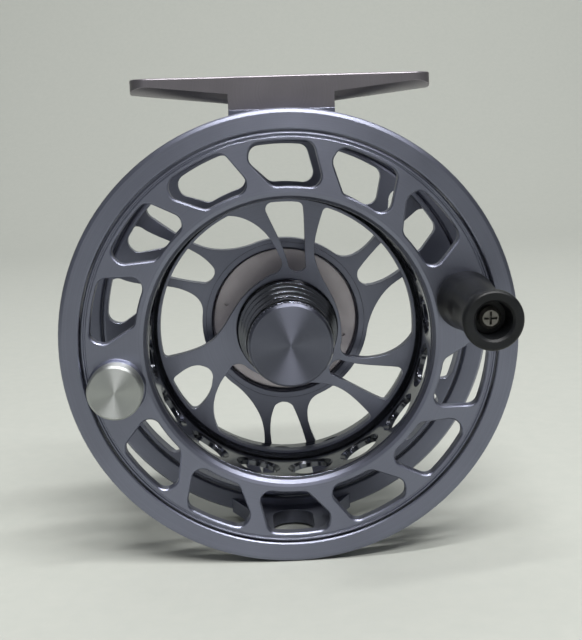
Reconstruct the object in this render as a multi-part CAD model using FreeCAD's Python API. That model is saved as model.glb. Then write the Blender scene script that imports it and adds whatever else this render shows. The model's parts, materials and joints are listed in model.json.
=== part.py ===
"""Large-arbor fly reel for a 7/8-weight line, as an assembly of separate pieces.

Every piece is first shaped in reel coordinates: X runs along the foot, Y is the spool axis
(0 at the front ring's face, positive towards the drag knob), Z is up from the spool axis.
save() then moves each one so that the origin is the middle of the foot's seat face.
Angles are in degrees, counter-clockwise from +X as the handle side is seen.
"""
import FreeCAD, Part
import math
import os

from FreeCAD import Vector

# ---- overall sizes, mm ----
RING_R = 48.0               # front ring, outer radius
RING_BORE_R = 43.75
RING_THICK = 3.4
SEAT_HEIGHT = 54.9          # foot's seat face above the spool axis
FOOT_LENGTH = 63.5
FOOT_WIDTH = 14.2
FOOT_FRONT = 9.9            # y of the foot's front edge
FOOT_MIDDLE = FOOT_FRONT + FOOT_WIDTH / 2
PILLAR_BORE_R = 44.2
PILLAR_R = 47.6
PILLAR_HALF = 11.15         # half length of the top pillar and of the foot's post
SADDLE_TOP = 48.0           # where the foot's post stands on the top pillar
FOOT_SCREW_X = 6.5
FOOT_SCREW_R = 1.5
FOOT_HEAD_R = 2.9
FOOT_HEAD_DEEP = 1.6
FOOT_SCREW_END = 45.4
SMALL_SCREW_R = 0.8

# back plate of the frame
PLATE_FRONT = 27.2
PLATE_BACK = 30.6
BACK_RING_FRONT = 24.6
BACK_RING_R = 46.4
BACK_RING_BORE_R = 42.3
PLATE_HOLE_R = 18.4
PLATE_WINDOW_R = 41.4       # outer ends of the back plate's openings

# spool
FLANGE_R = 43.4
FLANGE_FRONT = 0.2
FLANGE_THICK = 2.4
BACK_FLANGE_R = 41.8
BACK_FLANGE_FRONT = 24.2
SPOOL_BACK = 26.4
WINDOW_IN_R = 32.4          # windows of both flanges
WINDOW_OUT_R = 41.6
BACK_WINDOW_OUT_R = 40.8
WINDOW_CORNER = 2.3
ARBOR_BORE_R = 29.7
ARBOR_R = 31.2
WEB_FRONT = 16.9
WEB_BACK = 19.2
WEB_RIM_R = 28.3            # outer ends of the web's openings
WEB_SEAT_R = 28.9           # ridge inside the arbor that carries the web
HUB_BASE_R = 11.3
CAP_R = 8.75
CAP_THREAD_R = 6.6
CAP_FRONT = -2.5
CAP_BACK = -0.6
POSITIONS = 14              # twelve windows, the handle and the counterweight
POSITION_PITCH = 360.0 / POSITIONS
HANDLE_ANGLE = 12.5
HANDLE_RADIUS = 37.2
PORTS = 16                  # round holes in each of the arbor's two rows
PORTS_START = 7.6           # angle of the first one
EDGE_BREAK = 0.3            # chamfer round the front flange's windows

# handle and counterweight
KNOB_TIP = -26.5
POST_END = -21.2
POST_THREAD_R = 2.0
POST_R = 1.9
POST_BORE_R = 1.0
BUSHING_R = 2.7
WASHER_THICK = 0.4
WEIGHT_FRONT = -4.8
WEIGHT_R = 5.7
BOSS_FRONT = -0.7
WEIGHT_SCREW_R = 1.2
WEIGHT_HEAD_R = 2.3
WEIGHT_HEAD_DEEP = 1.1

# spindle, bearings and drive
SPINDLE_R = 2.5
SPINDLE_FRONT = 3.0
SPINDLE_BACK = 44.4
RUNNING_GAP = 0.05
BEARING_R = 5.5
BEARING_WIDTH = 3.0
REAR_BEARING_FRONT = 15.6
SLEEVE_R = 5.0              # drive sleeve, outside
SLEEVE_BACK = 33.0
CLUTCH_R = 7.5
CLUTCH_FRONT = 24.4
ROTOR_HUB_R = 9.0
ROTOR_TEETH = 60
ROTOR_R = 13.6
ROTOR_FRONT = 31.1
ROTOR_BACK = 32.3

# drag housing
HOUSING_FRONT = PLATE_FRONT
HOUSING_BORE_R = 16.9
HOUSING_BODY_R = 18.1
HOUSING_FLOOR = 35.6
HOUSING_BACK = 37.2
COVER_FRONT = 29.4
COVER_BACK = 30.6
SEAL_R = 9.9
EAR_RADIUS = 21.0           # screws that hold the housing to the back plate
EAR_ANGLE = -14.8           # from each spoke group's middle
EAR_R = 1.9
EAR_THICK = 1.8
EAR_SCREW_DEEP = 2.4
SPOKE_GROUPS = (30.0, 150.0, 270.0)

# friction stack and click
WASHER_R = 12.4
WASHER_BACK = 32.8
PRESS_GAP = 0.35            # free travel of the pressure plate with the drag backed off
PRESS_THICK = 1.0
PUSH_PIN_RADIUS = 8.4
PUSH_PIN_R = 0.9
THRUST_FRONT = 38.4
THRUST_BACK = 39.2
PAWL_ANGLE = 270.0
PAWL_PIVOT_RADIUS = 15.25
PAWL_REACH = 15.0           # degrees from the pivot to the nose
PAWL_NOSE_RADIUS = ROTOR_R + 0.1
PAWL_PIN_R = 0.5
PAWL_FRONT = 31.2
PAWL_BACK = 32.2

# drag knob
KNOB_FRONT = 37.8
KNOB_BACK = 46.2
KNOB_R = 15.5
KNOB_NUT_R = 5.4
KNOB_NUT_FRONT = 41.4
KNOB_NUT_BACK = 44.7
DETENT_R = 0.9
DETENT_RADIUS = 13.4
DETENT_DEEP = 1.2

Y_AXIS = Vector(0, 1, 0)
ORIGIN = Vector(0, 0, 0)


# ---- helpers ----
def polar(radius, angle, y=0.0):
    """Point at a radius and an angle about the spool axis."""
    turn = math.radians(angle)
    return Vector(radius * math.cos(turn), y, radius * math.sin(turn))


def disc(radius, y0, y1, centre=ORIGIN):
    """Cylinder along the spool axis."""
    return Part.makeCylinder(radius, y1 - y0, Vector(centre.x, y0, centre.z), Y_AXIS)


def tube(outer, inner, y0, y1, centre=ORIGIN):
    return disc(outer, y0, y1, centre).cut(disc(inner, y0 - 1, y1 + 1, centre))


def turned(profile, centre=ORIGIN, curve=()):
    """Solid of revolution about a line along Y, from (radius, y) points.

    A curve, if there is one, runs smoothly from the profile's last point back to its first.
    """
    points = [Vector(r, y, 0) for r, y in profile]
    if curve:
        smooth = Part.BSplineCurve()
        smooth.interpolate([points[-1]] + [Vector(r, y, 0) for r, y in curve] + [points[0]])
        outline = Part.Wire([Part.makePolygon(points), smooth.toShape()])
    else:
        outline = Part.makePolygon(points + points[:1])
    solid = Part.Face(outline).revolve(ORIGIN, Y_AXIS, 360)
    solid.translate(Vector(centre.x, 0, centre.z))
    return solid


def prism(points, y0, y1):
    """Straight-sided outline in X and Z, extruded along Y."""
    corners = [Vector(p.x, y0, p.z) for p in points]
    face = Part.Face(Part.makePolygon(corners + corners[:1]))
    return face.extrude(Vector(0, y1 - y0, 0))


def curved_prism(stretches, y0, y1):
    """Outline made of smooth curves through each stretch of points, extruded along Y."""
    edges = []
    for stretch in stretches:
        points = [Vector(p.x, y0, p.z) for p in stretch]
        if len(points) == 2:
            edges.append(Part.LineSegment(points[0], points[1]).toShape())
        elif len(points) == 3:
            edges.append(Part.Arc(points[0], points[1], points[2]).toShape())
        else:
            curve = Part.BSplineCurve()
            curve.interpolate(points)
            edges.append(curve.toShape())
    face = Part.Face(Part.Wire(edges))
    return face.extrude(Vector(0, y1 - y0, 0))


def along_axis(solid):
    """The straight edges of a solid that run along Y."""
    chosen = []
    for edge in solid.Edges:
        ends = edge.Vertexes
        if len(ends) == 2 and isinstance(edge.Curve, Part.Line):
            step = ends[1].Point - ends[0].Point
            if abs(step.x) < 1e-6 and abs(step.z) < 1e-6:
                chosen.append(edge)
    return chosen


def round_corners(solid, radius):
    return solid.makeFillet(radius, along_axis(solid))


def round_rim_corners(solid, rim, radius):
    """Round only the corners of an opening that lie on its rim circle."""
    corners = [e for e in along_axis(solid)
               if abs(math.hypot(e.Vertexes[0].X, e.Vertexes[0].Z) - rim) < 1e-3]
    return solid.makeFillet(radius, corners)


def spun(solid, angle):
    """Copy turned about the spool axis, counter-clockwise as the handle side is seen."""
    copy = solid.copy()
    copy.rotate(ORIGIN, Y_AXIS, -angle)
    return copy


def repeat(solid, count, start=0.0):
    """Compound of equal copies around the spool axis."""
    return Part.makeCompound([spun(solid, start + 360.0 * i / count) for i in range(count)])


def edges_at(solid, y, r_min, r_max):
    """Edges lying in the plane at y, with their middles between two radii."""
    chosen = []
    for edge in solid.Edges:
        box = edge.BoundBox
        if abs(box.YMin - y) < 1e-4 and abs(box.YMax - y) < 1e-4:
            middle = edge.valueAt((edge.FirstParameter + edge.LastParameter) / 2)
            if r_min < math.hypot(middle.x, middle.z) < r_max:
                chosen.append(edge)
    return chosen


def phillips(centre, y0, depth, half_width=1.25, slot=0.42):
    """Cross recess opening at y0 and going in along +Y."""
    corner = Vector(centre.x, y0, centre.z)
    across = Part.makeBox(2 * half_width, depth, slot, corner - Vector(half_width, 0, slot / 2))
    upright = Part.makeBox(slot, depth, 2 * half_width, corner - Vector(slot / 2, 0, half_width))
    return across.fuse(upright)


def hex_socket(centre, y0, depth, across_flats):
    corner = across_flats / math.sqrt(3)
    points = [centre + polar(corner, 60 * i) for i in range(6)]
    return prism(points, y0, y0 + depth)


def save(name, shape):
    shape = shape.copy()
    shape.translate(Vector(0, -FOOT_MIDDLE, -SEAT_HEIGHT))
    shape.exportStep("parts/%s.step" % name)


# ---- frame ----
def front_ring():
    bevel = 0.9
    return turned([(RING_BORE_R, 0.25), (RING_BORE_R + 0.25, 0), (RING_R - bevel, 0),
                   (RING_R - 0.25, 0.3), (RING_R, bevel), (RING_R, RING_THICK - 0.4),
                   (RING_R - 0.4, RING_THICK), (RING_BORE_R, RING_THICK)])


def top_pillar():
    half = PILLAR_HALF
    shell = tube(PILLAR_R, PILLAR_BORE_R, RING_THICK, BACK_RING_FRONT)
    strip = Part.makeBox(2 * half, 40, 20, Vector(-half, 0, 40))
    saddle = Part.makeBox(2 * half, FOOT_WIDTH, 10, Vector(-half, FOOT_FRONT, SADDLE_TOP - 10))
    saddle = saddle.cut(disc(PILLAR_BORE_R, 0, 40))
    pillar = shell.common(strip).fuse(saddle).removeSplitter()
    for x in (-FOOT_SCREW_X, FOOT_SCREW_X):
        pillar = pillar.cut(Part.makeCylinder(FOOT_SCREW_R, 10, Vector(x, FOOT_MIDDLE, FOOT_SCREW_END)))
    return pillar


def bottom_pillar():
    """Pillar opposite the foot, waisted and flared, with a slot through it."""
    waist = 9.0
    flare = 14.0
    slot_r = 4.6
    slot_ends = (11, 17)
    below = -60
    shell = tube(PILLAR_R - 0.2, PILLAR_BORE_R, RING_THICK, BACK_RING_FRONT)
    side = [(waist + 2.5, RING_THICK), (waist, 8.5), (waist, 16.5), (waist + 2.5, 21.5),
            (flare, BACK_RING_FRONT)]
    right = Part.BSplineCurve()
    right.interpolate([Vector(x, y, below) for x, y in side])
    left = Part.BSplineCurve()
    left.interpolate([Vector(-x, y, below) for x, y in reversed(side)])
    back = Part.makeLine(Vector(flare, BACK_RING_FRONT, below), Vector(-flare, BACK_RING_FRONT, below))
    front = Part.makeLine(Vector(-side[0][0], RING_THICK, below), Vector(side[0][0], RING_THICK, below))
    outline = Part.Wire([right.toShape(), back, left.toShape(), front])
    pillar = shell.common(Part.Face(outline).extrude(Vector(0, 0, 30)))
    for y in slot_ends:
        pillar = pillar.cut(Part.makeCylinder(slot_r, 30, Vector(0, y, below)))
    middle = Part.makeBox(2 * slot_r, slot_ends[1] - slot_ends[0], 30, Vector(-slot_r, slot_ends[0], below))
    return pillar.cut(middle)


def back_plate():
    ring = turned([(BACK_RING_BORE_R, PLATE_FRONT), (BACK_RING_BORE_R, BACK_RING_FRONT + 0.4),
                   (BACK_RING_BORE_R + 0.4, BACK_RING_FRONT), (BACK_RING_R, BACK_RING_FRONT),
                   (BACK_RING_R + 0.8, BACK_RING_FRONT + 1.6), (BACK_RING_R + 0.8, PLATE_BACK - 1),
                   (BACK_RING_R - 0.2, PLATE_BACK), (PLATE_HOLE_R, PLATE_BACK),
                   (PLATE_HOLE_R, PLATE_FRONT)])
    for middle in SPOKE_GROUPS:
        ring = ring.cut(plate_window(middle)).cut(plate_teardrop(middle))
    for middle in SPOKE_GROUPS:
        centre = polar(EAR_RADIUS, middle + EAR_ANGLE)
        ring = ring.cut(disc(SMALL_SCREW_R, PLATE_BACK - EAR_SCREW_DEEP, PLATE_BACK + 1, centre))
    bridge = top_bridge().cut(disc(BACK_RING_R, 0, 60))
    return ring.fuse(bridge).removeSplitter()


def top_bridge():
    """Part of the back plate that stands up behind the top pillar."""
    deep = PLATE_BACK - BACK_RING_FRONT - 0.4
    strip = Part.makeBox(2 * PILLAR_HALF, deep, 20, Vector(-PILLAR_HALF, BACK_RING_FRONT, 40))
    return strip.common(disc(PILLAR_R, 0, 60))


def plate_window(middle):
    """Large opening between one pair of spokes and the next pair."""
    rim = PLATE_WINDOW_R
    inside = 19.3
    first = [polar(rim, middle + 12.5), polar(30.0, middle + 12.0), polar(24.2, middle + 11.0),
             polar(21.0, middle + 13.5), polar(inside, middle + 24.0)]
    inner = [first[-1], polar(inside, middle + 51.0), polar(inside, middle + 78.0)]
    last = [inner[-1], polar(20.0, middle + 91.0), polar(21.6, middle + 98.5), polar(24.2, middle + 104.5),
            polar(29.0, middle + 108.5), polar(rim, middle + 110.5)]
    outer = [last[-1], polar(rim, middle + 61.5), first[0]]
    opening = curved_prism([first, inner, last, outer], PLATE_FRONT - 3, PLATE_BACK + 1)
    return round_rim_corners(opening, rim, 2.0)


def plate_teardrop(middle):
    """Opening between the two spokes of a pair, round at its inner end."""
    rim = PLATE_WINDOW_R
    right = [polar(rim, middle - 5.5), polar(30.0, middle - 8.0), polar(24.0, middle - 9.9),
             polar(20.6, middle - 8.6)]
    tip = [right[-1], polar(19.5, middle - 2.7), polar(20.6, middle + 3.2)]
    left = [tip[-1], polar(24.0, middle + 5.8), polar(30.0, middle + 7.8), polar(rim, middle + 8.5)]
    outer = [left[-1], polar(rim, middle + 1.5), right[0]]
    opening = curved_prism([right, tip, left, outer], PLATE_FRONT - 3, PLATE_BACK + 1)
    return round_rim_corners(opening, rim, 2.0)


def foot_section(x, edge_thickness, crown=1.8):
    """Cross-section of a foot arm: flat on top, bowed underneath."""
    low = SEAT_HEIGHT - edge_thickness
    back = FOOT_FRONT + FOOT_WIDTH
    corners = [Vector(x, FOOT_FRONT, SEAT_HEIGHT), Vector(x, back, SEAT_HEIGHT), Vector(x, back, low),
               Vector(x, FOOT_FRONT, low)]
    bow = Part.Arc(corners[2], Vector(x, FOOT_MIDDLE, low - crown), corners[3])
    return Part.Wire([Part.makeLine(corners[0], corners[1]), Part.makeLine(corners[1], corners[2]),
                      bow.toShape(), Part.makeLine(corners[3], corners[0])])


def reel_foot():
    """Foot with two tapered toes, on a post that is screwed to the top pillar."""
    half = FOOT_LENGTH / 2
    tip_round = 4.5
    foot = Part.makeBox(2 * PILLAR_HALF, FOOT_WIDTH, SEAT_HEIGHT - SADDLE_TOP,
                        Vector(-PILLAR_HALF, FOOT_FRONT, SADDLE_TOP))
    for side in (-1, 1):
        root = foot_section(side * PILLAR_HALF, 3.6)
        tip = foot_section(side * half, 1.3)
        foot = foot.fuse(Part.makeLoft([root, tip], True, True))
    plan = Part.makeBox(FOOT_LENGTH, FOOT_WIDTH, 20, Vector(-half, FOOT_FRONT, 40))
    corners = [e for e in plan.Edges if abs(e.Vertexes[0].Z - e.Vertexes[-1].Z) > 1]
    foot = foot.common(plan.makeFillet(tip_round, corners)).removeSplitter()
    rim = [e for e in foot.Edges if abs(e.BoundBox.ZMin - SEAT_HEIGHT) < 1e-4]
    foot = foot.makeFillet(0.35, rim)
    for x in (-FOOT_SCREW_X, FOOT_SCREW_X):
        foot = foot.cut(Part.makeCylinder(FOOT_SCREW_R, 12, Vector(x, FOOT_MIDDLE, SEAT_HEIGHT - 10)))
        foot = foot.cut(Part.makeCone(FOOT_SCREW_R, FOOT_HEAD_R, FOOT_HEAD_DEEP,
                                      Vector(x, FOOT_MIDDLE, SEAT_HEIGHT - FOOT_HEAD_DEEP)))
    return foot


def foot_screws():
    screws = []
    sunk = 0.15
    head_top = SEAT_HEIGHT - sunk
    head_bottom = SEAT_HEIGHT - FOOT_HEAD_DEEP
    for x in (-FOOT_SCREW_X, FOOT_SCREW_X):
        head = Part.makeCone(FOOT_SCREW_R, FOOT_HEAD_R - 0.14, FOOT_HEAD_DEEP - sunk,
                             Vector(x, FOOT_MIDDLE, head_bottom))
        shank = Part.makeCylinder(FOOT_SCREW_R, head_bottom - FOOT_SCREW_END,
                                  Vector(x, FOOT_MIDDLE, FOOT_SCREW_END))
        socket = Part.makeCylinder(0.9, 1.0, Vector(x, FOOT_MIDDLE, head_top - 1.0))
        screws.append(head.fuse(shank).removeSplitter().cut(socket))
    return Part.makeCompound(screws)


# ---- spool ----
def flange_window(outer, y0, y1):
    """One window of a flange, its middle at angle 0; the struts beside it are dog-legged."""
    inner = WINDOW_IN_R
    elbow = outer - 3.2
    corners = [polar(46, 10.4), polar(outer, 10.2), polar(elbow, 11.7), polar(inner, 4.7),
               polar(30, 2.5), polar(30, -15.5), polar(inner, -14.1), polar(outer, -7.7), polar(46, -4.5)]
    shape = prism(corners, y0, y1).common(tube(outer, inner, y0 - 1, y1 + 1))
    return round_corners(shape, WINDOW_CORNER)


def flange_windows(outer, y0, y1):
    window = flange_window(outer, y0, y1)
    skipped = (0, POSITIONS // 2)
    return [spun(window, HANDLE_ANGLE + POSITION_PITCH * i) for i in range(POSITIONS) if i not in skipped]


def spool_front_flange():
    bead_in = 42.3
    back = FLANGE_FRONT + FLANGE_THICK
    bore = ARBOR_BORE_R + 0.2
    flange = turned([(bore, back), (bore, 1.2), (bore + 0.6, 0.45), (bore + 1.3, FLANGE_FRONT),
                     (bead_in, FLANGE_FRONT), (bead_in + 0.15, 0.5), (bead_in + 0.45, 0.5),
                     (bead_in + 0.6, FLANGE_FRONT), (FLANGE_R - 0.3, FLANGE_FRONT), (FLANGE_R, 0.5),
                     (FLANGE_R, back - 0.4), (FLANGE_R - 0.4, back)])
    for window in flange_windows(WINDOW_OUT_R, FLANGE_FRONT - 1, back + 1):
        flange = flange.cut(window)
    rims = edges_at(flange, FLANGE_FRONT, WINDOW_IN_R - 0.2, WINDOW_OUT_R + 0.2)
    flange = flange.makeChamfer(EDGE_BREAK, rims)
    handle = polar(HANDLE_RADIUS, HANDLE_ANGLE)
    weight = polar(HANDLE_RADIUS, HANDLE_ANGLE + 180)
    boss = [(0, BOSS_FRONT), (5.75, BOSS_FRONT), (6.15, FLANGE_FRONT + 0.1), (0, FLANGE_FRONT + 0.1)]
    flange = flange.fuse(turned(boss, weight)).removeSplitter()
    flange = flange.cut(disc(POST_THREAD_R, -2, 4, handle))
    flange = flange.cut(disc(WEIGHT_SCREW_R, -2, 4, weight))
    return flange.cut(disc(WEIGHT_HEAD_R, back - WEIGHT_HEAD_DEEP, 4, weight))


def spool_back_flange():
    flange = turned([(ARBOR_R, BACK_FLANGE_FRONT), (BACK_FLANGE_R - 0.4, BACK_FLANGE_FRONT),
                     (BACK_FLANGE_R, BACK_FLANGE_FRONT + 0.4), (BACK_FLANGE_R, SPOOL_BACK - 0.3),
                     (BACK_FLANGE_R - 0.3, SPOOL_BACK), (ARBOR_R, SPOOL_BACK)])
    for window in flange_windows(BACK_WINDOW_OUT_R, BACK_FLANGE_FRONT - 1, SPOOL_BACK + 1):
        flange = flange.cut(window)
    return flange


def spool_arbor():
    back = FLANGE_FRONT + FLANGE_THICK
    arbor = turned([(ARBOR_BORE_R, back), (ARBOR_BORE_R, WEB_FRONT - 1.2), (WEB_SEAT_R, WEB_FRONT - 0.4),
                    (WEB_SEAT_R, WEB_BACK + 0.4), (ARBOR_BORE_R, WEB_BACK + 1.2), (ARBOR_BORE_R, SPOOL_BACK),
                    (ARBOR_R, SPOOL_BACK), (ARBOR_R, back)])
    front_row = repeat(arbor_port(4.1, 8.3), PORTS, PORTS_START)
    back_row = repeat(arbor_port(1.9, 22.4), PORTS, PORTS_START + 180.0 / PORTS)
    return arbor.cut(front_row).cut(back_row)


def arbor_port(radius, y):
    """Round hole through the arbor's wall, its rim countersunk on the inside."""
    outwards = Vector(1, 0, 0)
    hole = Part.makeCylinder(radius, 10, Vector(26, y, 0), outwards)
    sink = Part.makeCone(radius + 1.2, radius, 1.2, Vector(ARBOR_BORE_R - 0.8, y, 0), outwards)
    return hole.fuse(sink)


def web_large_opening():
    """Large swept opening between one pair of arms and the next; it hugs the hub."""
    arm = [polar(WEB_RIM_R, 71.6), polar(22.9, 71.6), polar(17.5, 68.0), polar(13.6, 52.0),
           polar(12.2, 26.0), polar(12.1, 0.0), polar(12.6, -17.0)]
    end = [arm[-1], polar(14.2, -27.0), polar(16.4, -25.4)]
    sweep = [end[-1], polar(21.3, -19.9), polar(25.9, -11.6), polar(WEB_RIM_R, -4.5)]
    outer = [sweep[-1], polar(WEB_RIM_R, 33.5), arm[0]]
    opening = curved_prism([arm, end, sweep, outer], WEB_FRONT - 1, WEB_BACK + 1)
    return round_rim_corners(opening, WEB_RIM_R, 1.0)


def web_small_opening():
    """Narrow opening between the two arms of a pair, from the rim in to the hub."""
    right = [polar(WEB_RIM_R, 81.4), polar(23.5, 79.0), polar(18.0, 75.6), polar(14.4, 71.5)]
    end = [right[-1], polar(12.9, 79.5), polar(13.9, 87.0)]
    left = [end[-1], polar(17.5, 90.6), polar(22.0, 95.2), polar(WEB_RIM_R, 99.2)]
    outer = [left[-1], polar(WEB_RIM_R, 90.3), right[0]]
    opening = curved_prism([right, end, left, outer], WEB_FRONT - 1, WEB_BACK + 1)
    return round_rim_corners(opening, WEB_RIM_R, 1.5)


def web_short_opening():
    """The pair of arms on the counterweight's side share a longer stem, so this one stops short."""
    right = [polar(WEB_RIM_R, 82.0), polar(25.5, 80.4), polar(22.3, 80.0), polar(20.4, 83.0)]
    end = [right[-1], polar(19.6, 88.0), polar(20.6, 93.4)]
    left = [end[-1], polar(22.4, 97.6), polar(25.0, 99.8), polar(WEB_RIM_R, 100.0)]
    outer = [left[-1], polar(WEB_RIM_R, 91.0), right[0]]
    opening = curved_prism([right, end, left, outer], WEB_FRONT - 1, WEB_BACK + 1)
    return round_rim_corners(opening, WEB_RIM_R, 1.5)


def spool_web():
    """Thin plate with three pairs of swept arms."""
    plate = tube(WEB_SEAT_R, HUB_BASE_R, WEB_FRONT, WEB_BACK)
    for turn in (0, 120, 240):
        plate = plate.cut(spun(web_large_opening(), turn))
    plate = plate.cut(web_small_opening())
    plate = plate.cut(spun(web_short_opening(), 120))
    return plate.cut(spun(web_small_opening(), 240))


def spool_hub():
    """Grooved hub tower between the web and the cap, bored for the bearings."""
    steps = [(9.4, 3.4), (9.9, 6.7), (10.4, 10.0), (10.9, 13.2)]
    groove = 0.9
    socket_end = 2.6
    profile = [(CAP_THREAD_R, CAP_BACK), (8.9, CAP_BACK), (9.2, 0.2), (9.2, 2.2)]
    for radius, y in steps:
        profile += [(radius - groove, y - 0.6), (radius - groove, y), (radius, y + 0.3), (radius, y + 2.3)]
    profile += [(HUB_BASE_R, WEB_FRONT - 1.0), (HUB_BASE_R, WEB_BACK), (BEARING_R, WEB_BACK),
                (BEARING_R, socket_end), (CAP_THREAD_R, socket_end)]
    return turned(profile)


def spool_cap():
    """Screw-on cap with a fluted rim; it covers the front bearing."""
    bevel = 0.5
    neck = CAP_R - 0.3
    inside = 5.2
    plug_end = 1.4
    cap = turned([(0, CAP_FRONT), (CAP_R - bevel, CAP_FRONT), (CAP_R, CAP_FRONT + bevel), (CAP_R, -1.9),
                  (neck, -1.7), (neck, -1.3), (CAP_R, -1.1), (CAP_R, CAP_BACK), (CAP_THREAD_R, CAP_BACK),
                  (CAP_THREAD_R, plug_end), (inside, plug_end), (inside, -0.9), (0, -0.9)])
    flute = disc(0.22, -1.25, CAP_BACK, Vector(CAP_R + 0.03, 0, 0))
    return cap.cut(repeat(flute, 60))


def cap_seal():
    return tube(CAP_THREAD_R, 5.9, 1.4, 2.3)


def bearing(y0):
    """Ball bearing drawn as its two races with the shielded gap between them."""
    y1 = y0 + BEARING_WIDTH
    outer_race = 4.4
    inner_race = 3.6
    shield_depth = 0.25
    outer = tube(BEARING_R, outer_race, y0, y1)
    inner = tube(inner_race, SPINDLE_R + RUNNING_GAP, y0, y1)
    shield = tube(outer_race, inner_race, y0 + shield_depth, y1 - shield_depth)
    return outer.fuse([inner, shield]).removeSplitter()


def drive_sleeve():
    """Hardened sleeve on the back of the hub; the one-way clutch grips it."""
    bore = SPINDLE_R + 0.4
    flange = HUB_BASE_R - 0.4
    flange_back = WEB_BACK + 1.6
    return turned([(bore, WEB_BACK), (flange, WEB_BACK), (flange, flange_back), (SLEEVE_R + 0.8, flange_back),
                   (SLEEVE_R, flange_back + 0.8), (SLEEVE_R, SLEEVE_BACK), (bore, SLEEVE_BACK)])


def sleeve_screws():
    screws = []
    for i in range(3):
        centre = polar(8.2, 60 + 120 * i)
        head = disc(1.3, WEB_BACK + 1.6, WEB_BACK + 2.5, centre)
        screws.append(head.cut(hex_socket(centre, WEB_BACK + 1.9, 1.0, 1.2)))
    return Part.makeCompound(screws)


# ---- counterweight and handle ----
def counterweight():
    """Weight opposite the handle."""
    centre = polar(HANDLE_RADIUS, HANDLE_ANGLE + 180)
    front = WEIGHT_FRONT
    weight = turned([(0, front), (WEIGHT_R - 0.4, front), (WEIGHT_R, front + 0.4),
                     (WEIGHT_R, BOSS_FRONT - 0.2), (WEIGHT_R - 0.2, BOSS_FRONT), (0, BOSS_FRONT)], centre)
    return weight.cut(disc(WEIGHT_SCREW_R, front + 1.5, 1, centre))


def counterweight_screw():
    centre = polar(HANDLE_RADIUS, HANDLE_ANGLE + 180)
    back = FLANGE_FRONT + FLANGE_THICK
    shank = disc(WEIGHT_SCREW_R, WEIGHT_FRONT + 1.5, back - 1, centre)
    head = disc(WEIGHT_HEAD_R - 0.1, back - WEIGHT_HEAD_DEEP, back - 0.1, centre)
    recess = hex_socket(centre, back - 0.8, 1.0, 1.6)
    return shank.fuse(head).removeSplitter().cut(recess)


def handle_centre():
    return polar(HANDLE_RADIUS, HANDLE_ANGLE)


def handle_post():
    post = turned([(0, POST_END), (POST_R, POST_END), (POST_R, -1.3), (3.6, -1.3), (3.6, FLANGE_FRONT),
                   (POST_THREAD_R, FLANGE_FRONT), (POST_THREAD_R, FLANGE_FRONT + FLANGE_THICK),
                   (0, FLANGE_FRONT + FLANGE_THICK)], handle_centre())
    return post.cut(disc(POST_BORE_R, POST_END - 1, POST_END + 5, handle_centre()))


def handle_bushing():
    return tube(BUSHING_R, POST_R + RUNNING_GAP, POST_END, -1.6, handle_centre())


def handle_knob():
    """Black knob: full at the base, a gentle waist, a flared tip with a deep screw recess."""
    recess = 3.35
    inside = [(5.2, KNOB_TIP), (3.95, KNOB_TIP), (3.5, -26.0), (recess, -22.0), (recess, POST_END),
              (BUSHING_R, POST_END), (BUSHING_R, -1.6), (4.2, -1.6), (4.2, -0.3), (5.4, -0.3)]
    barrel = [(5.85, -1.0), (5.8, -5.0), (5.45, -9.5), (5.05, -14.0), (4.9, -18.0), (5.2, -22.0),
              (5.65, -24.4), (5.72, -25.6), (5.55, -26.2)]
    return turned(inside, handle_centre(), barrel)


def handle_washer():
    back = POST_END - RUNNING_GAP
    return tube(3.2, POST_BORE_R, back - WASHER_THICK, back, handle_centre())


def handle_screw():
    centre = handle_centre()
    head_back = POST_END - WASHER_THICK - RUNNING_GAP
    end = POST_END + 4.5
    head = turned([(0, head_back - 1.7), (1.5, head_back - 1.7), (2.1, head_back - 1.1), (2.1, head_back),
                   (POST_BORE_R, head_back), (POST_BORE_R, end), (0, end)], centre)
    return head.cut(phillips(centre, head_back - 1.8, 1.2))


# ---- fixed centre: spindle and drag housing ----
def spindle():
    flange_r = 6.2
    flange_front = HOUSING_FLOOR - 1.0
    shaft = turned([(0, SPINDLE_FRONT), (SPINDLE_R, SPINDLE_FRONT), (SPINDLE_R, flange_front),
                    (flange_r, flange_front), (flange_r, HOUSING_FLOOR), (SPINDLE_R, HOUSING_FLOOR),
                    (SPINDLE_R, SPINDLE_BACK), (0, SPINDLE_BACK)])
    front_thread = disc(1.0, SPINDLE_FRONT - 1, SPINDLE_FRONT + 6)
    rear_thread = disc(1.0, SPINDLE_BACK - 5.4, SPINDLE_BACK + 1)
    return shaft.cut(front_thread).cut(rear_thread)


def spindle_screw():
    """Screw and washer in the spindle's front end; they keep the front bearing on."""
    front = SPINDLE_FRONT
    screw = turned([(0, front - 1.8), (2.0, front - 1.8), (2.0, front - 0.5), (3.4, front - 0.5),
                    (3.4, front - RUNNING_GAP), (SPINDLE_R, front - RUNNING_GAP), (SPINDLE_R, front),
                    (1.0, front), (1.0, front + 5.0), (0, front + 5.0)])
    return screw.cut(hex_socket(ORIGIN, front - 2.0, 1.0, 2.0))


def spindle_nut():
    nut = hex_socket(ORIGIN, HOUSING_BACK, 2.0, 8.0)
    return nut.cut(disc(SPINDLE_R, 30, 50))


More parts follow.
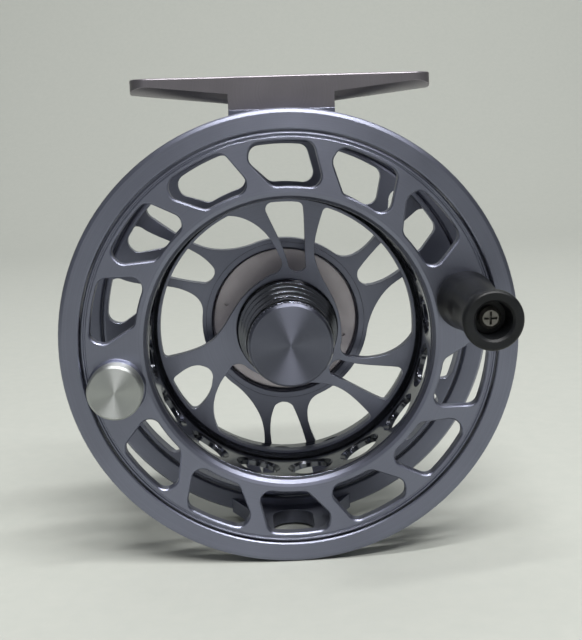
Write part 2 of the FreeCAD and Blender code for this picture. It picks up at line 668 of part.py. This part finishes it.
def drag_housing():
    cup = turned([(HOUSING_BORE_R, HOUSING_FRONT + 0.3), (HOUSING_BORE_R + 0.3, HOUSING_FRONT),
                  (PLATE_HOLE_R, HOUSING_FRONT), (PLATE_HOLE_R, PLATE_BACK), (HOUSING_BODY_R, PLATE_BACK),
                  (HOUSING_BODY_R, HOUSING_BACK - 1.0), (HOUSING_BODY_R - 1.0, HOUSING_BACK),
                  (SPINDLE_R, HOUSING_BACK), (SPINDLE_R, HOUSING_FLOOR),
                  (HOUSING_BORE_R, HOUSING_FLOOR)])
    ear_root = HOUSING_BORE_R + 0.3
    for middle in SPOKE_GROUPS:
        angle = middle + EAR_ANGLE
        ear = disc(EAR_R, PLATE_BACK, PLATE_BACK + EAR_THICK, polar(EAR_RADIUS, angle))
        root = Part.makeBox(EAR_RADIUS - ear_root, EAR_THICK, 2 * EAR_R, Vector(ear_root, PLATE_BACK, -EAR_R))
        cup = cup.fuse(ear).fuse(spun(root, angle).cut(disc(HOUSING_BORE_R, 0, 60)))
        cup = cup.cut(disc(SMALL_SCREW_R, PLATE_BACK - 1, 40, polar(EAR_RADIUS, angle)))
    for i in range(3):
        cup = cup.cut(disc(PUSH_PIN_R + RUNNING_GAP, 30, 40, polar(PUSH_PIN_RADIUS, 90 + 120 * i)))
    cup = cup.cut(disc(DETENT_R, HOUSING_BACK - DETENT_DEEP, 40, polar(DETENT_RADIUS, 90)))
    return cup.removeSplitter()


def housing_screws():
    screws = []
    for middle in SPOKE_GROUPS:
        centre = polar(EAR_RADIUS, middle + EAR_ANGLE)
        head_front = PLATE_BACK + EAR_THICK
        shank = disc(SMALL_SCREW_R, PLATE_BACK - EAR_SCREW_DEEP, head_front, centre)
        head = disc(1.5, head_front, head_front + 1.2, centre)
        screws.append(shank.fuse(head).removeSplitter().cut(hex_socket(centre, head_front + 0.5, 1.0, 1.3)))
    return Part.makeCompound(screws)


def drag_cover():
    """Plate that closes the drag housing, with two small spanner holes."""
    cover = turned([(SEAL_R, COVER_FRONT), (HOUSING_BORE_R - 0.35, COVER_FRONT),
                    (HOUSING_BORE_R, COVER_FRONT + 0.35), (HOUSING_BORE_R, COVER_BACK),
                    (SEAL_R, COVER_BACK)])
    for angle in (163, 343):
        cover = cover.cut(disc(0.45, COVER_FRONT - 1, COVER_FRONT + 0.8, polar(14.2, angle)))
    return cover


def hub_seal():
    return tube(SEAL_R, ROTOR_HUB_R + RUNNING_GAP, COVER_FRONT + 0.1, COVER_BACK - 0.1)


# ---- drag rotor, washers and pressure plate ----
def drag_rotor():
    """Steel disc with click teeth on its rim and a hub that holds the one-way clutch."""
    root_r = ROTOR_R - 0.7
    outline = []
    for i in range(ROTOR_TEETH):
        start = 360.0 * i / ROTOR_TEETH
        outline += [polar(root_r, start - 1.9), polar(ROTOR_R, start - 0.5), polar(ROTOR_R, start + 0.5),
                    polar(root_r, start + 1.9)]
    plate = prism(outline, ROTOR_FRONT, ROTOR_BACK)
    hub = disc(ROTOR_HUB_R, CLUTCH_FRONT - 0.4, ROTOR_BACK)
    return plate.fuse(hub).removeSplitter().cut(disc(CLUTCH_R, 20, 40))


def roller_clutch():
    """Cage of the one-way clutch, open at the front where its needles sit."""
    cage = tube(CLUTCH_R, SLEEVE_R + RUNNING_GAP, CLUTCH_FRONT, ROTOR_BACK)
    pocket = disc(0.55, CLUTCH_FRONT, CLUTCH_FRONT + 5, Vector((SLEEVE_R + CLUTCH_R) / 2, 0, 0))
    return cage.cut(repeat(pocket, 12))


def carbon_washers():
    """Friction facings in front of and behind the rotor."""
    front = tube(WASHER_R, ROTOR_HUB_R + 0.3, COVER_BACK, ROTOR_FRONT)
    back = tube(WASHER_R, CLUTCH_R + 0.4, ROTOR_BACK, WASHER_BACK)
    return Part.makeCompound([front, back])


def pressure_plate():
    """The plate behind the washers, and the three pins that press it through the housing's floor."""
    front = WASHER_BACK + PRESS_GAP
    back = front + PRESS_THICK
    plate = tube(WASHER_R, 6.7, front, back)
    pins = [disc(PUSH_PIN_R, back, THRUST_FRONT, polar(PUSH_PIN_RADIUS, 90 + 120 * i)) for i in range(3)]
    return plate, Part.makeCompound(pins)


def thrust_plate():
    return tube(10.6, 5.2, THRUST_FRONT, THRUST_BACK)


def drag_springs():
    """Three dished spring washers, stacked the same way."""
    washers = []
    dish = 0.45
    thick = 0.4
    for i in range(3):
        y = THRUST_BACK + dish * i
        washers.append(turned([(5.6, y + dish), (10.2, y), (10.2, y + thick), (5.6, y + dish + thick)]))
    return Part.makeCompound(washers)


def click_pawl():
    """Pointed pawl that rides on the tips of the rotor's teeth."""
    pivot = polar(PAWL_PIVOT_RADIUS, PAWL_ANGLE)
    hub = disc(1.25, PAWL_FRONT, PAWL_BACK, pivot)
    side = polar(1.0, PAWL_ANGLE)
    heel = polar(ROTOR_R + 0.5, PAWL_ANGLE + PAWL_REACH - 3.0)
    nose = polar(PAWL_NOSE_RADIUS, PAWL_ANGLE + PAWL_REACH)
    back = polar(14.9, PAWL_ANGLE + PAWL_REACH)
    arm = prism([pivot + side, pivot - side, heel, nose, back], PAWL_FRONT, PAWL_BACK)
    return hub.fuse(arm).removeSplitter().cut(disc(PAWL_PIN_R + RUNNING_GAP, 30, 34, pivot))


def pawl_pin():
    return disc(PAWL_PIN_R, COVER_BACK, PAWL_BACK + 1.2, polar(PAWL_PIVOT_RADIUS, PAWL_ANGLE))


def pawl_spring():
    """Small flat spring that keeps the pawl against the teeth."""
    start = PAWL_ANGLE + 4
    end = PAWL_ANGLE + 24
    post = disc(0.45, COVER_BACK, PAWL_BACK + 0.8, polar(16.1, end))
    leaf = prism([polar(16.6, start), polar(16.8, start), polar(16.4, end), polar(16.2, end)],
                 PAWL_FRONT + 0.1, PAWL_BACK - 0.1)
    return post.fuse(leaf)


# ---- drag knob ----
def drag_knob():
    """Round knob with scalloped grip, hollow in front for the spring stack."""
    cavity = 11.2
    screw_hole = 4.2
    body = turned([(cavity, KNOB_FRONT), (KNOB_R - 0.5, KNOB_FRONT), (KNOB_R, KNOB_FRONT + 0.5),
                   (KNOB_R, KNOB_BACK - 1.6), (KNOB_R - 0.4, KNOB_BACK - 0.7), (KNOB_R - 1.6, KNOB_BACK),
                   (KNOB_R - 4.0, KNOB_BACK), (KNOB_R - 4.4, KNOB_BACK - 0.5), (KNOB_R - 4.8, KNOB_BACK),
                   (screw_hole, KNOB_BACK), (screw_hole, KNOB_NUT_BACK), (KNOB_NUT_R, KNOB_NUT_BACK),
                   (KNOB_NUT_R, KNOB_NUT_FRONT), (cavity, KNOB_NUT_FRONT)])
    scallop = disc(3.2, KNOB_FRONT + 1.6, KNOB_BACK + 1, Vector(KNOB_R + 2.2, 0, 0))
    flare = Part.makeCone(3.2, 4.2, 1.0, Vector(KNOB_R + 2.2, KNOB_BACK - 1.0, 0), Y_AXIS)
    body = body.cut(repeat(scallop, 9)).cut(repeat(flare, 9))
    wide = DETENT_R
    narrow = 0.4
    groove = turned([(DETENT_RADIUS - wide, KNOB_FRONT - 1), (DETENT_RADIUS + wide, KNOB_FRONT - 1),
                     (DETENT_RADIUS + wide, KNOB_FRONT + 0.1), (DETENT_RADIUS + narrow, KNOB_FRONT + 0.6),
                     (DETENT_RADIUS - narrow, KNOB_FRONT + 0.6), (DETENT_RADIUS - wide, KNOB_FRONT + 0.1)])
    return body.cut(groove)


def knob_nut():
    return tube(KNOB_NUT_R, SPINDLE_R + RUNNING_GAP, KNOB_NUT_FRONT, KNOB_NUT_BACK)


def knob_screw():
    """Slotted screw in the spindle's back end; it stops the knob from coming off."""
    head_r = 3.6
    head_front = SPINDLE_BACK + 0.4
    head_back = KNOB_BACK - 0.3
    slot_deep = 0.8
    screw = turned([(0, head_back), (head_r, head_back), (head_r, head_front), (1.0, head_front),
                    (1.0, SPINDLE_BACK - 4.4), (0, SPINDLE_BACK - 4.4)])
    return screw.cut(Part.makeBox(6.0, 2, 0.7, Vector(-3.0, head_back - slot_deep, -0.35)))


def detent():
    centre = polar(DETENT_RADIUS, 90)
    ball = Part.makeSphere(0.85, Vector(centre.x, HOUSING_BACK + 0.1, centre.z))
    coil = tube(0.75, 0.4, HOUSING_BACK - DETENT_DEEP, HOUSING_BACK - 0.75, centre)
    return ball, coil


# ---- write every piece ----
def main():
    os.makedirs("parts", exist_ok=True)
    plate, pins = pressure_plate()
    ball, coil = detent()
    pieces = {
        "front_ring": front_ring(), "top_pillar": top_pillar(), "bottom_pillar": bottom_pillar(),
        "back_plate": back_plate(), "reel_foot": reel_foot(), "foot_screws": foot_screws(),
        "spool_front_flange": spool_front_flange(), "spool_back_flange": spool_back_flange(),
        "spool_arbor": spool_arbor(), "spool_web": spool_web(), "spool_hub": spool_hub(),
        "spool_cap": spool_cap(), "cap_seal": cap_seal(), "front_bearing": bearing(SPINDLE_FRONT),
        "rear_bearing": bearing(REAR_BEARING_FRONT), "drive_sleeve": drive_sleeve(),
        "sleeve_screws": sleeve_screws(), "counterweight": counterweight(),
        "counterweight_screw": counterweight_screw(), "handle_post": handle_post(),
        "handle_bushing": handle_bushing(), "handle_knob": handle_knob(),
        "handle_washer": handle_washer(), "handle_screw": handle_screw(), "spindle": spindle(),
        "spindle_screw": spindle_screw(), "spindle_nut": spindle_nut(), "drag_housing": drag_housing(),
        "housing_screws": housing_screws(), "drag_cover": drag_cover(), "hub_seal": hub_seal(),
        "drag_rotor": drag_rotor(), "roller_clutch": roller_clutch(), "carbon_washers": carbon_washers(),
        "pressure_plate": plate, "push_pins": pins, "thrust_plate": thrust_plate(),
        "drag_springs": drag_springs(), "click_pawl": click_pawl(), "pawl_pin": pawl_pin(),
        "pawl_spring": pawl_spring(), "drag_knob": drag_knob(), "knob_nut": knob_nut(),
        "knob_screw": knob_screw(), "detent_ball": ball, "detent_spring": coil,
    }
    for name, shape in pieces.items():
        if not shape.isValid() or shape.Volume < 0.01:
            raise ValueError("%s is not a sound solid" % name)
        save(name, shape)
        print("%-20s %d solid(s) %10.2f mm3" % (name, len(shape.Solids), shape.Volume))


main()
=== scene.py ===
"""Looks of the fly reel: studio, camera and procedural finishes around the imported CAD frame."""
import json
import math

import bpy
from mathutils import Matrix, Vector


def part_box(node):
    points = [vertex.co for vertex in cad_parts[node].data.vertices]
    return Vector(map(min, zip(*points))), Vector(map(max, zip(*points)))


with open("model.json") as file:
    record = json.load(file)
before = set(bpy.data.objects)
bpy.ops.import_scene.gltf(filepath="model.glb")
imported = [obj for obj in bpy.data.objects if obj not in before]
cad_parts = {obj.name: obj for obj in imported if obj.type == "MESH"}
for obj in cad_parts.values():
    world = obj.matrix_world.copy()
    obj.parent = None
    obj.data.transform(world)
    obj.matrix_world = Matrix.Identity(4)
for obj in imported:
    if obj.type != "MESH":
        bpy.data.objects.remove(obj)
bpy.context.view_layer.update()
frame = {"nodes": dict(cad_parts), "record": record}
MM = 0.001

# where the spool axis meets the front ring's face, from the ring's own box
RING_LOW, RING_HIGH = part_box("front_ring")
AXIS = Vector(((RING_LOW.x + RING_HIGH.x) / 2, RING_LOW.y, (RING_LOW.z + RING_HIGH.z) / 2))
FLOOR_Z = RING_LOW.z

# camera, measured from that point
CAMERA_OFFSET = Vector((-8.09, -210.16, 42.49)) * MM
CAMERA_YAW = math.radians(2.16)      # towards +X
CAMERA_PITCH = math.radians(10.09)   # downwards
CAMERA_ROLL = math.radians(1.75)
CAMERA_LENS = 58.17
CAMERA_SHIFT = (0.003, -0.0008)
CAMERA_NEAR = 0.01

# backdrop, in metres: the floor runs along Y, bends up and ends as a wall
FLOOR_START = -4.0
WALL_Y = 1.1
WALL_HEIGHT = 1.7
BEND_RADIUS = 0.5
BEND_STEPS = 16
BACKDROP_HALF_WIDTH = 4.0
PAPER_DARK = (0.39, 0.405, 0.375)
PAPER_LIGHT = (0.43, 0.44, 0.405)

# lights: place measured from AXIS and size in metres, power in watts
WHITE = (1.0, 1.0, 1.0)
TUBE_COLOUR = (1.0, 0.995, 0.985)
FILL_COLOUR = (0.92, 0.95, 1.0)
TUBE_SIZE = (0.9, 0.06)
TUBE_POWER = 10.0
TUBE_FRONT = Vector((0.10, -0.72, 1.0))
TUBE_BACK = Vector((0.10, -0.34, 1.0))
KEY = Vector((0.6, -0.5, 1.0))
FILL = Vector((-0.7, -1.1, 0.1))
BEHIND = Vector((0.1, 0.55, 0.9))
BEHIND_AIM = Vector((0.0, 0.9, 0.1))   # lights the wall, not the reel
WORLD_COLOUR = (0.80, 0.83, 0.86, 1.0)
WORLD_STRENGTH = 0.23

# finishes, in metres where they are sizes
BEVEL_SAMPLES = 4
EDGE_FLAT, EDGE_SHARP = 0.98, 0.75     # cosine between the rounded and the true normal
# width of the painted highlight along sharp edges of anodised pieces
EDGE_HIGHLIGHT_WIDTH = 0.00025
SCUFFED_WIDTH = 0.0003
RING_PITCH = 0.00035                   # turning marks on the large anodised pieces
FINE_RING_PITCH = 0.0002
STEEL_RING_PITCH = 0.00025
GRAIN_TURN = 0.25                      # a quarter turn, so highlights spread outwards
DIMPLE_SIZE = 0.00028
WEAVE_SIZE = 0.0008

# colours, linear
GUNMETAL = (0.212, 0.222, 0.283)
FOOT_GREY = (0.255, 0.238, 0.26)
ARBOR_DARK = (0.125, 0.130, 0.145)
WEIGHT_SILVER = (0.44, 0.455, 0.45)
# painted highlight colour for the counterweight's sharp edges
WEIGHT_EDGE_HIGHLIGHT = (0.85, 0.85, 0.83)
COVER_SILVER = (0.70, 0.65, 0.69)
HANDLE_DARK = (0.0035, 0.004, 0.005)
HANDLE_BLOOM = (0.009, 0.010, 0.0115)
HANDLE_SCUFF = (0.035, 0.035, 0.037)
STAINLESS = (0.52, 0.52, 0.53)
SCREW_GREY = (0.26, 0.25, 0.23)
BRONZE = (0.45, 0.30, 0.14)
SPRING_GREY = (0.42, 0.42, 0.44)
CARBON_DARK = (0.012, 0.012, 0.013)
CARBON_LIGHT = (0.045, 0.045, 0.05)
RUBBER_DARK = (0.012, 0.012, 0.012)
RUBBER_LIGHT = (0.03, 0.03, 0.03)


# ---- materials ----
class Finish:
    """A material under construction, with the node groups that most finishes share."""

    def __init__(self, name):
        self.material = bpy.data.materials.new(name)
        self.material.use_nodes = True
        self.tree = self.material.node_tree
        self.tree.nodes.clear()
        self.shader = self.node("BsdfPrincipled")
        output = self.node("OutputMaterial")
        self.join(self.shader.outputs["BSDF"], output.inputs["Surface"])
        self.place = self.node("TexCoord").outputs["Object"]

    def node(self, kind, **settings):
        made = self.tree.nodes.new("ShaderNode" + kind)
        for key, value in settings.items():
            setattr(made, key, value)
        return made

    def join(self, source, target):
        self.tree.links.new(source, target)

    def put(self, target, value):
        """A number, a colour or another node's output into a socket."""
        if isinstance(value, bpy.types.NodeSocket):
            self.join(value, target)
        elif isinstance(value, tuple) and len(value) == 3 and len(target.default_value) == 4:
            target.default_value = (*value, 1.0)
        else:
            target.default_value = value

    def set(self, **values):
        """Shader sockets by name, with _ for a space."""
        for name, value in values.items():
            self.put(self.shader.inputs[name.replace("_", " ")], value)

    def maths(self, operation, *values):
        made = self.node("Math", operation=operation)
        for socket, value in zip(made.inputs, values):
            self.put(socket, value)
        return made.outputs[0]

    def remap(self, value, low, high, new_low, new_high):
        """Low to high becomes new_low to new_high, clamped."""
        made = self.node("MapRange")
        for socket, number in zip(made.inputs, (value, low, high, new_low, new_high)):
            self.put(socket, number)
        return made.outputs["Result"]

    def mix(self, amount, first, second):
        """The first colour at 0, the second at 1."""
        made = self.node("Mix", data_type="RGBA")
        self.put(made.inputs["Factor"], amount)
        self.put(made.inputs["A"], first)
        self.put(made.inputs["B"], second)
        return made.outputs["Result"]

    def noise(self, size, detail=3.0, stretch=(1, 1, 1)):
        """Noise whose blobs are about size metres across, squeezed along the axes by stretch."""
        mapping = self.node("Mapping")
        self.join(self.place, mapping.inputs["Vector"])
        mapping.inputs["Scale"].default_value = stretch
        made = self.node("TexNoise")
        self.join(mapping.outputs["Vector"], made.inputs["Vector"])
        made.inputs["Scale"].default_value = 1.0 / size
        made.inputs["Detail"].default_value = detail
        made.inputs["Roughness"].default_value = 0.55
        return made.outputs["Fac"]

    def radius(self, centre):
        """Distance from a line along Y through centre."""
        split = self.node("SeparateXYZ")
        self.join(self.place, split.inputs[0])
        across = self.maths("SUBTRACT", split.outputs["X"], centre.x)
        upright = self.maths("SUBTRACT", split.outputs["Z"], centre.z)
        squares = self.maths("ADD", self.maths("MULTIPLY", across, across),
                             self.maths("MULTIPLY", upright, upright))
        return self.maths("SQRT", squares)

    def turning_marks(self, centre, pitch):
        """Fine rings left by a lathe tool about centre, as a value from 0 to 1."""
        made = self.node("TexNoise", noise_dimensions="1D")
        self.join(self.radius(centre), made.inputs["W"])
        made.inputs["Scale"].default_value = 1.0 / pitch
        made.inputs["Detail"].default_value = 4.0
        made.inputs["Roughness"].default_value = 0.7
        return made.outputs["Fac"]

    def rounded_normal(self, radius):
        bevel = self.node("Bevel", samples=BEVEL_SAMPLES)
        bevel.inputs["Radius"].default_value = radius
        return bevel.outputs["Normal"]

    def edges(self, width):
        """1 along sharp edges within width, 0 on flats."""
        rounded = self.rounded_normal(width)
        geometry = self.node("NewGeometry")
        product = self.node("VectorMath", operation="DOT_PRODUCT")
        self.join(rounded, product.inputs[0])
        self.join(geometry.outputs["Normal"], product.inputs[1])
        return self.remap(product.outputs["Value"], EDGE_FLAT, EDGE_SHARP, 0.0, 1.0)

    def relief(self, heights, soften):
        """Bump from (height socket, depth in metres) pairs over edges softened by a small radius."""
        normal = self.rounded_normal(soften)
        for height, depth in heights:
            bump = self.node("Bump")
            bump.inputs["Strength"].default_value = 1.0
            bump.inputs["Distance"].default_value = depth
            self.join(height, bump.inputs["Height"])
            self.join(normal, bump.inputs["Normal"])
            normal = bump.outputs["Normal"]
        self.join(normal, self.shader.inputs["Normal"])


def shade(colour, factor):
    """The colour made lighter or darker."""
    return tuple(min(1.0, c * factor) for c in colour)


def middle_of(node):
    low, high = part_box(node)
    return (low + high) / 2


def spin_finish(f, amount):
    """Concentric lathe grain: highlights spread outwards from the piece's own axis along Y."""
    tangent = f.node("Tangent", direction_type="RADIAL", axis="Y")
    f.set(Anisotropic=amount, Anisotropic_Rotation=GRAIN_TURN, Tangent=tangent.outputs["Tangent"])


# The edge amount and edge colour arguments set a painted highlight: how strongly sharp edges get a
# lighter base colour, and which colour.
def anodised(name, colour, roughness, centre=AXIS, marks=RING_PITCH, spin=0.0, edge_highlight=0.5,
             edge_highlight_colour=None):
    """Anodised aluminium: tone that drifts slowly, lathe marks, tiny pores, and sharp edges painted
    lighter as a painted highlight and made smoother.
    """
    f = Finish(name)
    drift = f.noise(0.03, detail=2.0)
    rings = f.turning_marks(centre, marks)
    pores = f.noise(0.00025, detail=1.0)
    handling = f.noise(0.007)
    tone = f.mix(f.remap(drift, 0.35, 0.65, 0.0, 1.0), shade(colour, 0.92), shade(colour, 1.08))
    tone = f.mix(f.remap(rings, 0.25, 0.75, 0.0, 0.25), tone, shade(colour, 0.7))
    # Mask for the painted edge highlight: sharp edges, patchy through the noise; it also lowers
    # roughness there.
    edge_highlight_and_polish = f.maths("MULTIPLY", f.edges(EDGE_HIGHLIGHT_WIDTH),
                     f.remap(handling, 0.35, 0.6, edge_highlight * 0.6, edge_highlight))
    # Painted highlight: the base colour turns lighter along sharp edges.
    f.set(Base_Color=f.mix(edge_highlight_and_polish, tone, edge_highlight_colour or shade(colour, 2.2)), Metallic=1.0)
    dull = f.remap(handling, 0.3, 0.7, roughness * 0.94, roughness * 1.06)
    dull = f.maths("ADD", dull, f.remap(rings, 0.3, 0.7, -0.02, 0.02))
    f.set(Roughness=f.maths("SUBTRACT", dull, f.maths("MULTIPLY", edge_highlight_and_polish, roughness)))
    if spin:
        spin_finish(f, spin)
    f.relief([(rings, 0.0000008), (pores, 0.0000004)], 0.0002)
    return f.material


def steel(name, colour, roughness):
    """Turned stainless steel with fine rings and a few stains."""
    f = Finish(name)
    rings = f.turning_marks(AXIS, STEEL_RING_PITCH)
    stain = f.noise(0.004, detail=4.0)
    stained = f.mix(f.remap(stain, 0.45, 0.75, 0.0, 0.5), colour, shade(colour, 0.6))
    f.set(Base_Color=stained, Metallic=1.0)
    f.set(Roughness=f.remap(rings, 0.2, 0.8, roughness * 0.8, roughness * 1.3))
    f.relief([(rings, 0.000003)], 0.00008)
    return f.material


def moulded_black(name):
    """Black plastic handle: moulding grain, a dull bloom and scuffed edges."""
    f = Finish(name)
    grain = f.noise(0.00045)
    bloom = f.noise(0.006, detail=4.0)
    colour = f.mix(f.remap(bloom, 0.35, 0.7, 0.0, 1.0), HANDLE_DARK, HANDLE_BLOOM)
    scuffed = f.maths("MULTIPLY", f.edges(SCUFFED_WIDTH), 0.4)
    f.set(Base_Color=f.mix(scuffed, colour, HANDLE_SCUFF), Specular_IOR_Level=0.3)
    f.set(Roughness=f.remap(bloom, 0.3, 0.7, 0.36, 0.5))
    f.relief([(grain, 0.000006)], 0.00025)
    return f.material


def blasted(name, colour):
    """Bead-blasted cover: even fine dimples, faint handling stains."""
    f = Finish(name)
    dimples = f.node("TexVoronoi", feature="SMOOTH_F1")
    f.join(f.place, dimples.inputs["Vector"])
    dimples.inputs["Scale"].default_value = 1.0 / DIMPLE_SIZE
    stain = f.noise(0.009, detail=4.0)
    stained = f.mix(f.remap(stain, 0.35, 0.7, 0.0, 0.6), colour, shade(colour, 0.78))
    f.set(Base_Color=stained, Metallic=0.85)
    f.set(Roughness=f.remap(stain, 0.3, 0.7, 0.42, 0.56))
    f.relief([(dimples.outputs["Distance"], 0.00002)], 0.00012)
    return f.material


def carbon(name):
    """Woven carbon facing: over-and-under tows."""
    f = Finish(name)
    weave = f.node("TexChecker")
    f.join(f.place, weave.inputs["Vector"])
    weave.inputs["Scale"].default_value = 1.0 / WEAVE_SIZE
    fibres = f.noise(0.0003, detail=2.0, stretch=(6.0, 1.0, 1.0))
    f.set(Base_Color=f.mix(weave.outputs["Fac"], CARBON_DARK, CARBON_LIGHT))
    f.set(Roughness=f.remap(fibres, 0.3, 0.7, 0.28, 0.5))
    f.relief([(fibres, 0.00002)], 0.0001)
    return f.material


def rubber(name):
    """Dull black seal rubber."""
    f = Finish(name)
    skin = f.noise(0.0006, detail=4.0)
    f.set(Base_Color=f.mix(skin, RUBBER_DARK, RUBBER_LIGHT))
    f.set(Roughness=f.remap(skin, 0.3, 0.7, 0.55, 0.75))
    f.relief([(skin, 0.00003)], 0.0001)
    return f.material


FINISHES = {
    # The anodised finishes paint their sharp edges lighter as a painted highlight, much lighter on
    # the polished arbor and the counterweight.
    "anodised_frame": anodised("anodised_frame", GUNMETAL, roughness=0.40, spin=0.6),
    "anodised_foot": anodised("anodised_foot", FOOT_GREY, roughness=0.40,
                              centre=middle_of("reel_foot")),
    "anodised_spool": anodised("anodised_spool", GUNMETAL, roughness=0.38, spin=0.6),
    "polished_arbor": anodised("polished_arbor", ARBOR_DARK, roughness=0.16, edge_highlight=0.6,
                               edge_highlight_colour=shade(GUNMETAL, 2.5)),
    "spun_cap": anodised("spun_cap", shade(GUNMETAL, 0.63), roughness=0.42,
                         marks=FINE_RING_PITCH, spin=0.92),
    "bright_weight": anodised("bright_weight", WEIGHT_SILVER, roughness=0.45,
                              centre=middle_of("counterweight"), marks=FINE_RING_PITCH,
                              spin=0.85, edge_highlight_colour=WEIGHT_EDGE_HIGHLIGHT),
    "cover_satin": blasted("cover_satin", COVER_SILVER),
    "handle_black": moulded_black("handle_black"),
    "stainless": steel("stainless", STAINLESS, roughness=0.25),
    "screw_steel": steel("screw_steel", SCREW_GREY, roughness=0.5),
    "bronze": steel("bronze", BRONZE, roughness=0.35),
    "carbon_fibre": carbon("carbon_fibre"),
    "seal_rubber": rubber("seal_rubber"),
    "spring_steel": steel("spring_steel", SPRING_GREY, roughness=0.3),
}

for part in frame["record"]["subparts"]:
    for material_slot in frame["nodes"][part["node"]].material_slots:
        material_slot.material = FINISHES[part["material_slot"]]


# ---- studio ----
def backdrop():
    """Pale floor that curves up into a wall well behind the reel."""
    profile = [(FLOOR_START, 0.0)]
    for i in range(BEND_STEPS + 1):
        turn = math.radians(90.0 * i / BEND_STEPS)
        profile.append((WALL_Y - BEND_RADIUS + BEND_RADIUS * math.sin(turn),
                        BEND_RADIUS - BEND_RADIUS * math.cos(turn)))
    profile.append((WALL_Y, WALL_HEIGHT))
    sides = (-BACKDROP_HALF_WIDTH, BACKDROP_HALF_WIDTH)
    vertices = [(x, y, FLOOR_Z + z) for y, z in profile for x in sides]
    faces = [(2 * i, 2 * i + 1, 2 * i + 3, 2 * i + 2) for i in range(len(profile) - 1)]
    mesh = bpy.data.meshes.new("backdrop")
    mesh.from_pydata(vertices, [], faces)
    mesh.shade_smooth()
    sweep = bpy.data.objects.new("backdrop", mesh)
    bpy.context.scene.collection.objects.link(sweep)
    f = Finish("backdrop_paper")
    tooth = f.noise(0.004, detail=4.0)
    f.set(Base_Color=f.mix(tooth, PAPER_DARK, PAPER_LIGHT), Roughness=0.85)
    sweep.data.materials.append(f.material)


def softbox(name, place, aim, size, power, colour=WHITE):
    """A rectangular light; place and aim are measured from AXIS."""
    lamp = bpy.data.lights.new(name, "AREA")
    lamp.shape = "RECTANGLE"
    lamp.size, lamp.size_y = size
    lamp.energy = power
    lamp.color = colour
    lamp_object = bpy.data.objects.new(name, lamp)
    lamp_object.location = AXIS + place
    lamp_object.rotation_mode = "QUATERNION"
    lamp_object.rotation_quaternion = (aim - place).to_track_quat("-Z", "Y")
    bpy.context.scene.collection.objects.link(lamp_object)


def lights():
    """Two tubes overhead, a key, a weak cool fill, a light for the wall, and a dim world."""
    at_reel = Vector((0.0, 0.0, 0.0))
    softbox("tube_front", TUBE_FRONT, at_reel, TUBE_SIZE, TUBE_POWER, TUBE_COLOUR)
    softbox("tube_back", TUBE_BACK, at_reel, TUBE_SIZE, TUBE_POWER, TUBE_COLOUR)
    softbox("key", KEY, at_reel, size=(0.4, 0.3), power=2.3)
    softbox("fill", FILL, at_reel, size=(0.8, 0.8), power=0.5, colour=FILL_COLOUR)
    softbox("behind", BEHIND, BEHIND_AIM, size=(1.4, 0.5), power=4.2)
    world = bpy.data.worlds.new("studio")
    world.use_nodes = True
    background = world.node_tree.nodes["Background"]
    background.inputs["Color"].default_value = WORLD_COLOUR
    background.inputs["Strength"].default_value = WORLD_STRENGTH
    bpy.context.scene.world = world
    bpy.context.scene.view_settings.view_transform = "Standard"


def camera():
    """The photo's own viewpoint."""
    forward = Vector((math.sin(CAMERA_YAW) * math.cos(CAMERA_PITCH),
                      math.cos(CAMERA_YAW) * math.cos(CAMERA_PITCH), -math.sin(CAMERA_PITCH)))
    level = forward.cross(Vector((0, 0, 1))).normalized()
    upright = level.cross(forward)
    right = level * math.cos(CAMERA_ROLL) - upright * math.sin(CAMERA_ROLL)
    up = level * math.sin(CAMERA_ROLL) + upright * math.cos(CAMERA_ROLL)
    lens = bpy.data.cameras.new("camera")
    lens.lens = CAMERA_LENS
    lens.shift_x, lens.shift_y = CAMERA_SHIFT
    lens.clip_start = CAMERA_NEAR
    view = bpy.data.objects.new("camera", lens)
    view.location = AXIS + CAMERA_OFFSET
    view.rotation_mode = "QUATERNION"
    view.rotation_quaternion = Matrix((right, up, -forward)).transposed().to_quaternion()
    bpy.context.scene.collection.objects.link(view)
    bpy.context.scene.camera = view


backdrop()
lights()
camera()
